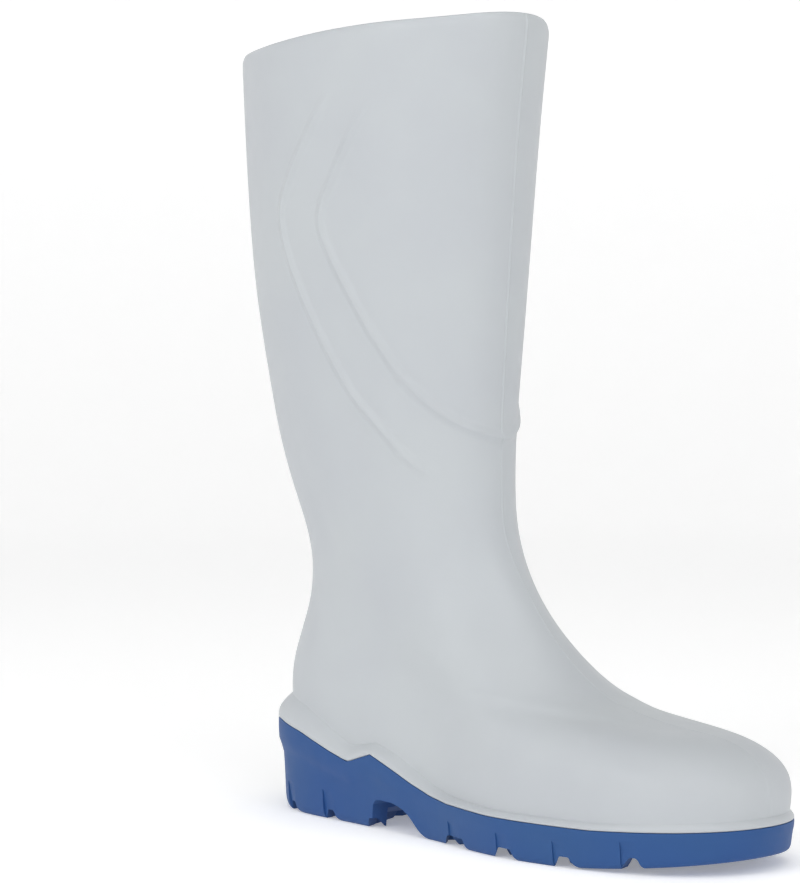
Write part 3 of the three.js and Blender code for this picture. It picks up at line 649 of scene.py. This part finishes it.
def side_point(at, side, z, out):
    """A point of the outsole's side at a station and height, moved outwards."""
    angle = np.array([edge_angle(at, side)])
    edge = plan_point(angle, 0.0)
    x = float(edge[0, 0])
    down = float(np.clip((rim_height(x) - z) / (rim_height(x) - ground_height(x)), 0, 1))
    stations, heel, ball = np.array(SIDE_LINE, float).T
    level = (down, float(np.interp(down, stations, heel)), float(np.interp(down, stations, ball)))
    point = plan_point(angle, float(side_inset(x, angle, level)[0]) - out)[0]
    point[2] = z
    return point


def bar(name, rings):
    """A closed cutter of sections from end to end."""
    piece = wrap(name, np.array(rings))
    bpy.ops.object.mode_set(mode="EDIT")
    bpy.ops.mesh.select_all(action="SELECT")
    bpy.ops.mesh.fill_holes(sides=0)
    bpy.ops.mesh.select_all(action="SELECT")
    bpy.ops.mesh.normals_make_consistent(inside=False)
    bpy.ops.object.mode_set(mode="OBJECT")
    return piece


def groove_face(width, draft, depth, edge, root):
    mouth = width / 2 + draft
    base = width / 2 - draft
    half = [(mouth + edge, -2), (mouth + edge, -0.02), (mouth, edge), (base, depth - root),
            (base - 0.3 * root, depth - 0.3 * root), (base - root, depth)]
    return half + [(-side, up) for side, up in half[::-1]]


def groove(route, face, pitch=12.0):
    """A cutter swept along the ground line with the section given."""
    points = [np.array(route[0], float)]
    for end in route[1:]:
        start, end = points[-1], np.array(end, float)
        pieces = max(1, round(abs(end[0] - start[0]) / pitch))
        points += [start + (end - start) * k / pieces for k in range(1, pieces + 1)]
    rings = []
    for i, point in enumerate(points):
        ahead = points[min(i + 1, len(points) - 1)] - points[max(i - 1, 0)]
        ahead = ahead[:2] / np.linalg.norm(ahead[:2])
        toward = -1.0 if ahead[1] > 0 else 1.0
        ground = float(ground_height(point[0]))
        rings.append([(point[0] - toward * side * ahead[1], point[1] + toward * side * ahead[0], ground + up)
                      for side, up in face])
    return bar("cutter", rings)


def chain(points, width):
    return [(at * SOLE_LENGTH, across * width + float(swing(at * SOLE_LENGTH))) for at, across in points]


def cut(body, cutters):
    """Takes cutters that don't touch one another out of the body."""
    deselect()
    for cutter in cutters:
        cutter.select_set(True)
    bpy.context.view_layer.objects.active = cutters[0]
    if len(cutters) > 1:
        bpy.ops.object.join()
    cutter = bpy.context.view_layer.objects.active
    select_only(body)
    bpy.ops.object.modifier_add(type="BOOLEAN")
    modifier = body.modifiers[-1]
    modifier.operation = "DIFFERENCE"
    modifier.solver = "MANIFOLD"
    modifier.object = cutter
    bpy.ops.object.modifier_apply(modifier=modifier.name)
    select_only(cutter)
    bpy.ops.object.delete()


def prism(outline, low, high):
    return bar("cutter", [[(x, y, z) for x, z in outline] for y in (low, high)])


def notch(at, side):
    angle = np.array([edge_angle(at, side)])
    start, end = plan_point(angle, NOTCH_REACH)[0], plan_point(angle, -NOTCH)[0]
    return groove([start, end], NOTCH_FACE, pitch=100)


def flute(at, side):
    height = HEEL_FLUTE if at < 0.3 else BALL_FLUTE
    rings = []
    for up, share in ((-1.5, 1), (2, 1), (height - 4, 1), (height - 2.2, 0.9), (height - 1, 0.6),
                      (height, 0.1), (height + 0.4, -0.2)):
        z = float(ground_height(at * SOLE_LENGTH)) + up
        ring = []
        for place, deep in FLUTE_FACE:
            out = -FLUTE_DEPTH * deep * share if deep > 0 else -FLUTE_DEPTH * deep
            ring.append(side_point(at + place / SOLE_LENGTH, side, z, out))
        rings.append(ring)
    return bar("cutter", rings)


def star_arms(stars, width):
    sipe = groove_face(FINE_SIPE, 0.0, FINE_SIPE_DEPTH, 0.2, 0.3)
    for arm in (1, 2, 3):
        yield [groove(chain([star[0], star[arm]], width), sipe, pitch=30) for star in stars]


def make_outsole():
    angle = columns(SOLE_COLUMNS)
    edge = plan_point(angle, 0.0)
    rim = rim_height(edge[:, 0])
    rings = [plan_point(angle, RIM_WALL, bed_height)]
    for inset, drop in ((RIM_WALL, RIM_ROUND), (RIM_WALL - 0.12, 0.12), (RIM_WALL - RIM_ROUND, 0), (1.5, 0),
                        (RIM_ROUND, 0), (0.12, 0.12), (0, RIM_ROUND)):
        ring = plan_point(angle, inset)
        ring[:, 2] = rim - drop
        rings.append(ring)
    for level in SIDE_LINE[1:]:
        ring = plan_point(angle, side_inset(edge[:, 0], angle, level))
        ring[:, 2] = rim + (ground_height(ring[:, 0]) - rim) * level[0]
        rings.append(ring)
    body = wrap("tread_outsole", capped(np.array(rings)))
    arch = [(at * SOLE_LENGTH, height * ARCH_HEIGHT) for at, height in ARCH_LINE]
    start, end, low, inner, outer = BREAST_RAMP
    start, end, under = start * SOLE_LENGTH, end * SOLE_LENGTH, -0.3 * ARCH_HEIGHT
    ramp = [(start, under), (start, low * ARCH_HEIGHT), (end, ARCH_HEIGHT), (end, under)]
    cut(body, [prism(arch, -BALL_WIDTH, BALL_WIDTH)])
    cut(body, [prism(ramp, outer * HEEL_WIDTH, inner * HEEL_WIDTH)])
    wide = groove_face(GROOVE, TREAD_DRAFT, TREAD_DEPTH, LUG_EDGE, 0.8)
    thin = groove_face(SIPE, 0.3, TREAD_DEPTH, 0.3, 0.4)
    fine = groove_face(FINE_SIPE, 0.0, FINE_SIPE_DEPTH, 0.2, 0.3)
    gap = groove_face(BAR_GAP, 0.0, BAR_GAP_DEPTH, 0.3, 0.4)
    for lines, width, face in ((BALL_GROOVES, BALL_WIDTH, wide), (HEEL_GROOVES, HEEL_WIDTH, wide),
                               (HEEL_SIPES, HEEL_WIDTH, thin), (HEEL_CUTS, HEEL_WIDTH, fine),
                               (TOE_CUTS, BALL_WIDTH, gap), (TOE_LINES, BALL_WIDTH, fine)):
        for line in lines:
            cut(body, [groove(chain(line, width), face)])
    for arms in star_arms(BALL_STARS, BALL_WIDTH):
        cut(body, arms)
    for arms in star_arms(HEEL_STARS, HEEL_WIDTH):
        cut(body, arms)
    for shape in (notch, flute):
        cut(body, [shape(at, -1) for at in OUTER_NOTCHES] + [shape(at, 1) for at in INNER_NOTCHES])
    return body


def make_insole():
    angle = columns(SOLE_COLUMNS // 2)
    edge = RIM_WALL + FIT_GAP + WALL + FIT_GAP
    base = FIT_GAP + 0.02
    rings = []
    for inset, up in ((edge + 0.3, base), (edge, base + 0.3), (edge, INSOLE - 1), (edge + 0.3, INSOLE - 0.4),
                      (edge + 1, INSOLE), (edge + 2, INSOLE + 0.05), (edge + 6, INSOLE - 0.9),
                      (edge + 10, INSOLE - 1.2)):
        rings.append(plan_point(angle, inset, lambda x: bed_height(x) + up))
    return wrap("felt_insole", capped(np.array(rings)))


def finish_shading(piece, degrees):
    select_only(piece)
    bpy.ops.object.shade_smooth_by_angle(angle=math.radians(degrees))


# Materials: a group for the rubber's skin, which the felt shares, and one for the knit
def new_group(name, inputs, outputs):
    group = bpy.data.node_groups.new(name, "ShaderNodeTree")
    for socket, kind in inputs:
        group.interface.new_socket(name=socket, in_out="INPUT", socket_type=kind)
    for socket, kind in outputs:
        group.interface.new_socket(name=socket, in_out="OUTPUT", socket_type=kind)
    return group, group.nodes.new("NodeGroupInput"), group.nodes.new("NodeGroupOutput")


def node(group, kind, links, **values):
    """A node with values by socket name and links from other nodes' sockets."""
    made = group.nodes.new(kind)
    for key, value in values.items():
        setattr(made, key, value)
    for socket, source in links.items():
        if hasattr(source, "is_output"):
            group.links.new(source, made.inputs[socket])
        else:
            made.inputs[socket].default_value = source
    return made


def rubber_skin():
    """Mottled colour, uneven gloss and a fine moulded grain."""
    colour_kind, value_kind = "NodeSocketColor", "NodeSocketFloat"
    group, given, result = new_group(
        "rubber_skin",
        [("Colour", colour_kind), ("Mottle", colour_kind), ("Gloss", value_kind), ("Uneven", value_kind),
         ("Grain", value_kind)],
        [("Colour", colour_kind), ("Roughness", value_kind), ("Normal", "NodeSocketVector")])
    place = node(group, "ShaderNodeTexCoord", {}).outputs["Object"]
    broad = node(group, "ShaderNodeTexNoise", {"Vector": place, "Scale": 16.0, "Detail": 2.0})
    cloud = node(group, "ShaderNodeTexNoise", {"Vector": place, "Scale": 130.0, "Detail": 3.0})
    fine = node(group, "ShaderNodeTexNoise", {"Vector": place, "Scale": 1500.0, "Detail": 2.0,
                                              "Roughness": 0.6})
    share = node(group, "ShaderNodeMapRange", {"Value": broad.outputs["Fac"], "From Min": 0.36,
                                               "From Max": 0.66})
    mix = node(group, "ShaderNodeMix", {}, data_type="RGBA")
    group.links.new(share.outputs["Result"], mix.inputs["Factor"])
    for socket, source in (("A", given.outputs["Colour"]), ("B", given.outputs["Mottle"])):
        colour_inputs = [entry for entry in mix.inputs if entry.name == socket and entry.type == "RGBA"]
        group.links.new(source, colour_inputs[0])
    swing_gloss = node(group, "ShaderNodeMath", {0: cloud.outputs["Fac"], 1: given.outputs["Uneven"]},
                       operation="MULTIPLY")
    gloss = node(group, "ShaderNodeMath", {0: swing_gloss.outputs[0], 1: given.outputs["Gloss"]},
                 operation="ADD")
    soft = node(group, "ShaderNodeBump", {"Strength": 0.06, "Distance": 0.001,
                                          "Height": cloud.outputs["Fac"]})
    grain = node(group, "ShaderNodeBump", {"Strength": given.outputs["Grain"], "Distance": 0.0002,
                                           "Height": fine.outputs["Fac"], "Normal": soft.outputs["Normal"]})
    mixed = [entry for entry in mix.outputs if entry.type == "RGBA"][0]
    group.links.new(mixed, result.inputs["Colour"])
    group.links.new(gloss.outputs[0], result.inputs["Roughness"])
    group.links.new(grain.outputs["Normal"], result.inputs["Normal"])
    return group


def knit_skin():
    """Rows of small stitches over the lining's own grid."""
    group, _, result = new_group("knit_skin", [],
                                 [("Shade", "NodeSocketColor"), ("Normal", "NodeSocketVector")])
    grid = node(group, "ShaderNodeTexCoord", {}).outputs["UV"]
    stitches = node(group, "ShaderNodeMapping", {"Vector": grid, "Scale": (220.0, 300.0, 1.0)})
    courses = node(group, "ShaderNodeTexWave", {"Vector": stitches.outputs["Vector"], "Scale": 0.3142,
                                                "Distortion": 0.6, "Detail": 1.0}, bands_direction="X")
    wales = node(group, "ShaderNodeTexWave", {"Vector": stitches.outputs["Vector"], "Scale": 0.3142,
                                              "Distortion": 0.6, "Detail": 1.0}, bands_direction="Y")
    both = node(group, "ShaderNodeMath", {0: courses.outputs["Fac"], 1: wales.outputs["Fac"]},
                operation="MULTIPLY")
    shade = node(group, "ShaderNodeMapRange", {"Value": both.outputs[0], "To Min": 0.42, "To Max": 0.62})
    bump = node(group, "ShaderNodeBump", {"Strength": 0.5, "Distance": 0.0005, "Height": both.outputs[0]})
    group.links.new(shade.outputs["Result"], result.inputs["Shade"])
    group.links.new(bump.outputs["Normal"], result.inputs["Normal"])
    return group


RUBBER = rubber_skin()
KNIT = knit_skin()


def new_material(name):
    material = bpy.data.materials.new(name)
    material.use_nodes = True
    return material, material.node_tree, material.node_tree.nodes["Principled BSDF"]


def rubber(name, colour, mottle, gloss, uneven, grain, coat, specular):
    material, tree, shader = new_material(name)
    skin = tree.nodes.new("ShaderNodeGroup")
    skin.node_tree = RUBBER
    skin.inputs["Colour"].default_value = (*colour, 1)
    skin.inputs["Mottle"].default_value = (*mottle, 1)
    skin.inputs["Gloss"].default_value = gloss
    skin.inputs["Uneven"].default_value = uneven
    skin.inputs["Grain"].default_value = grain
    tree.links.new(skin.outputs["Colour"], shader.inputs["Base Color"])
    tree.links.new(skin.outputs["Roughness"], shader.inputs["Roughness"])
    tree.links.new(skin.outputs["Normal"], shader.inputs["Normal"])
    shader.inputs["Specular IOR Level"].default_value = specular
    shader.inputs["Coat Weight"].default_value = coat
    shader.inputs["Coat Roughness"].default_value = 0.35
    return material


def fabric(name):
    material, tree, shader = new_material(name)
    skin = tree.nodes.new("ShaderNodeGroup")
    skin.node_tree = KNIT
    tree.links.new(skin.outputs["Shade"], shader.inputs["Base Color"])
    tree.links.new(skin.outputs["Normal"], shader.inputs["Normal"])
    shader.inputs["Roughness"].default_value = 0.95
    shader.inputs["Sheen Weight"].default_value = 0.3
    return material


def felt(name):
    material, tree, shader = new_material(name)
    skin = tree.nodes.new("ShaderNodeGroup")
    skin.node_tree = RUBBER
    skin.inputs["Colour"].default_value = (0.30, 0.32, 0.35, 1)
    skin.inputs["Mottle"].default_value = (0.36, 0.38, 0.41, 1)
    skin.inputs["Gloss"].default_value = 0.85
    skin.inputs["Uneven"].default_value = 0.1
    skin.inputs["Grain"].default_value = 1.0
    tree.links.new(skin.outputs["Colour"], shader.inputs["Base Color"])
    tree.links.new(skin.outputs["Normal"], shader.inputs["Normal"])
    tree.links.new(skin.outputs["Roughness"], shader.inputs["Roughness"])
    shader.inputs["Sheen Weight"].default_value = 0.4
    return material


upper = make_upper()
outsole = make_outsole()
insole = make_insole()
finish_shading(upper, 50)
finish_shading(outsole, 32)
finish_shading(insole, 40)
select_only(outsole)
bpy.ops.object.modifier_add(type="WEIGHTED_NORMAL")
outsole.modifiers[-1].keep_sharp = True
apply_modifiers(outsole)

for piece in (upper, outsole, insole):
    faces = np.zeros(len(piece.data.polygons), int)
    if piece is upper:
        piece.data.polygons.foreach_get("material_index", faces)
    piece.data.materials.clear()
    piece.data.polygons.foreach_set("material_index", faces)
upper.data.materials.append(rubber("white_rubber", colour=(0.495, 0.523, 0.542), mottle=(0.478, 0.503, 0.529),
                                   gloss=0.38, uneven=0.16, grain=0.12, coat=0.05, specular=0.35))
upper.data.materials.append(fabric("lining_knit"))
outsole.data.materials.append(rubber("blue_rubber", colour=(0.021, 0.078, 0.248),
                                     mottle=(0.024, 0.084, 0.240), gloss=0.48, uneven=0.14, grain=0.25,
                                     coat=0.0, specular=0.3))
insole.data.materials.append(felt("insole_felt"))

for piece, solid, slot in ((upper, "upper", "white_rubber"), (outsole, "outsole", "blue_rubber"),
                           (insole, "insole", "insole_felt")):
    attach(piece, "root")
    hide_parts(solid)

# Camera at the photograph's place, with its reach in the picture's own pixels
CAMERA_AZIMUTH = math.radians(44.778)
CAMERA_ELEVATION = math.radians(1.630)
CAMERA_DISTANCE = 1380.08
CAMERA_TARGET = np.array([73.707, 0.0, 188.84])
FOCAL_PIXELS = 2735.33
PICTURE_HEIGHT = 884
SENSOR = 36
camera_data = bpy.data.cameras.new("camera")
camera = bpy.data.objects.new("camera", camera_data)
bpy.context.scene.collection.objects.link(camera)
bpy.context.scene.camera = camera
back = np.array([math.sin(CAMERA_AZIMUTH) * math.cos(CAMERA_ELEVATION),
                 -math.cos(CAMERA_AZIMUTH) * math.cos(CAMERA_ELEVATION), math.sin(CAMERA_ELEVATION)])
camera.location = Vector((CAMERA_TARGET + back * CAMERA_DISTANCE) * MM + ORIGIN)
camera.rotation_mode = "QUATERNION"
camera.rotation_quaternion = Vector(-back).to_track_quat("-Z", "Y")
camera_data.lens = FOCAL_PIXELS * SENSOR / PICTURE_HEIGHT
camera_data.clip_end = 50

# Pale studio: a floor that curves up into a wall all round, and soft lights
FLOOR_RADIUS = 2.6
COVE_RADIUS = 0.9
STUDIO_COLUMNS = 72


def make_studio():
    profile = [(radius, 0.0) for radius in (0.25, 0.5, 1.0, 2.0, FLOOR_RADIUS)]
    for bend in np.radians([12, 24, 36, 48, 60, 72, 84]):
        profile.append((FLOOR_RADIUS + COVE_RADIUS * math.sin(bend),
                        COVE_RADIUS - COVE_RADIUS * math.cos(bend)))
    profile += [(FLOOR_RADIUS + COVE_RADIUS, 1.2), (FLOOR_RADIUS + COVE_RADIUS, 2.4)]
    turn = columns(STUDIO_COLUMNS)
    rings = []
    for radius, z in profile:
        level = np.full(STUDIO_COLUMNS, z)
        rings.append(np.stack([radius * np.cos(turn), radius * np.sin(turn), level], axis=-1))
    rings.insert(0, rings[0] * 0.001)
    rings = (np.array(rings) - ORIGIN) / MM
    studio = wrap("studio_floor", rings)
    material, _, shader = new_material("studio_white")
    shader.inputs["Base Color"].default_value = (0.93, 0.93, 0.93, 1)
    shader.inputs["Roughness"].default_value = 0.9
    shader.inputs["Specular IOR Level"].default_value = 0.1
    shader.inputs["Emission Color"].default_value = (1, 1, 1, 1)
    shader.inputs["Emission Strength"].default_value = 0.27
    studio.data.materials.append(material)
    finish_shading(studio, 60)


make_studio()


def soft_light(name, place, target, size, power, colour):
    bpy.ops.object.light_add(type="AREA", location=place)
    light = bpy.context.object
    light.name = name
    light.data.shape = "DISK"
    light.data.size = size
    light.data.energy = power
    light.data.color = colour
    light.rotation_mode = "QUATERNION"
    light.rotation_quaternion = (Vector(target) - Vector(place)).to_track_quat("-Z", "Y")


soft_light("key", (-0.1, -2.05, 1.6), (0, 0, 0.15), 1.3, 11.5, (1.0, 1.0, 1.0))
soft_light("fill", (1.5, -0.9, 1.9), (0, 0, 0.15), 1.7, 13, (1.0, 1.0, 1.0))
soft_light("top", (0.25, -0.35, 2.6), (0, 0, 0.1), 1.8, 11.5, (1.0, 1.0, 1.0))

world = bpy.data.worlds.new("studio")
bpy.context.scene.world = world
world.use_nodes = True
world.node_tree.nodes["Background"].inputs["Color"].default_value = (1, 1, 1, 1)
world.node_tree.nodes["Background"].inputs["Strength"].default_value = 0.30
bpy.context.scene.view_settings.view_transform = "Standard"
